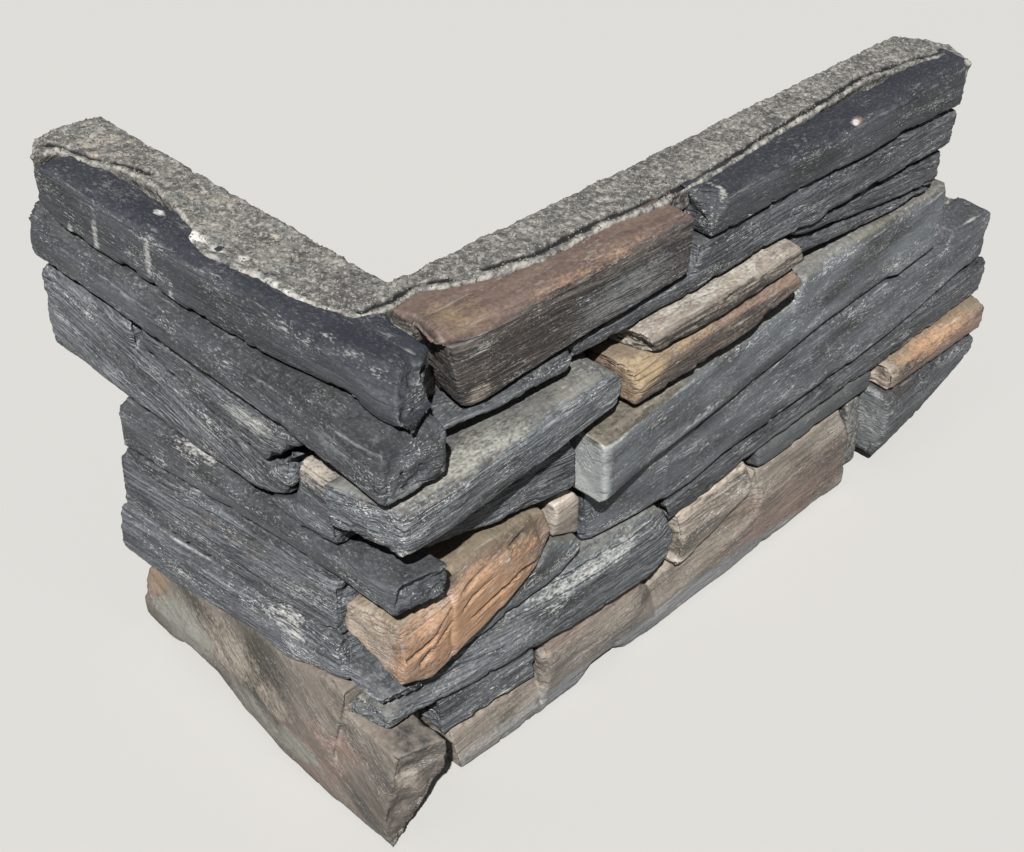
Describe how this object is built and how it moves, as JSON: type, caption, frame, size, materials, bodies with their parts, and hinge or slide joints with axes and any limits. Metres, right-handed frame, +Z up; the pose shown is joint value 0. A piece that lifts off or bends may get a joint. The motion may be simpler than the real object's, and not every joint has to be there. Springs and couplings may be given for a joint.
{
  "type": "quartzite corner stone",
  "caption": "L-shaped wall cladding corner unit: split quartzite and slate strips bonded to a cement backing, with stepped ends that interlock with flat panels.",
  "frame": {"origin": "middle of the bounding box, on its bottom", "axes": "+Z up the wall; the long arm runs along Y with its stones facing +X, and the short arm runs along -X with its stones facing -Y"},
  "size_m": [0.2098, 0.4042, 0.2],
  "materials": {
    "cement": "rough cast cement mortar, matte and gritty",
    "dark_slate": "natural split, matte, with pale specks and scratches",
    "navy_slate": "smooth natural cleft, slightly satin",
    "grey_quartzite": "natural split, matte and granular",
    "pale_sawn_quartzite": "smooth sawn, matte",
    "brown_quartzite": "natural split, matte, with pale streaks",
    "beige_quartzite": "natural split, matte and dusty",
    "rust_quartzite": "iron-stained natural split, matte"
  },
  "bodies": {
    "root": {"cement_backing": "cement", "short_arm_top_strip": "navy_slate", "short_arm_second_strip": "dark_slate", "short_arm_split_wedge": "dark_slate", "short_arm_laminated_strip": "grey_quartzite", "short_arm_dusty_chip": "grey_quartzite", "short_arm_fourth_strip": "dark_slate", "short_arm_fifth_strip": "dark_slate", "short_arm_sixth_strip": "dark_slate", "short_arm_bottom_stone": "beige_quartzite", "long_arm_brown_cap_stone": "brown_quartzite", "long_arm_navy_cap_stone": "navy_slate", "long_arm_tucked_stone": "dark_slate", "long_arm_second_strip": "dark_slate", "long_arm_upper_lens": "dark_slate", "long_arm_lower_lens": "dark_slate", "long_arm_pale_strip": "beige_quartzite", "long_arm_rust_strip": "rust_quartzite", "long_arm_corner_strip": "grey_quartzite", "long_arm_rough_wedge": "grey_quartzite", "long_arm_grey_strip": "grey_quartzite", "long_arm_rust_corner_stone": "rust_quartzite", "long_arm_pink_chip": "beige_quartzite", "long_arm_grey_flap": "grey_quartzite", "long_arm_dark_strip": "dark_slate", "long_arm_sixth_strip": "dark_slate", "long_arm_pale_grey_strip": "pale_sawn_quartzite", "long_arm_pointed_strip": "grey_quartzite", "long_arm_small_dark_strip": "dark_slate", "long_arm_beige_stone": "beige_quartzite", "long_arm_bottom_strip": "brown_quartzite", "long_arm_rust_end_stone": "rust_quartzite", "long_arm_end_stone": "dark_slate"}
  },
  "joints": []
}
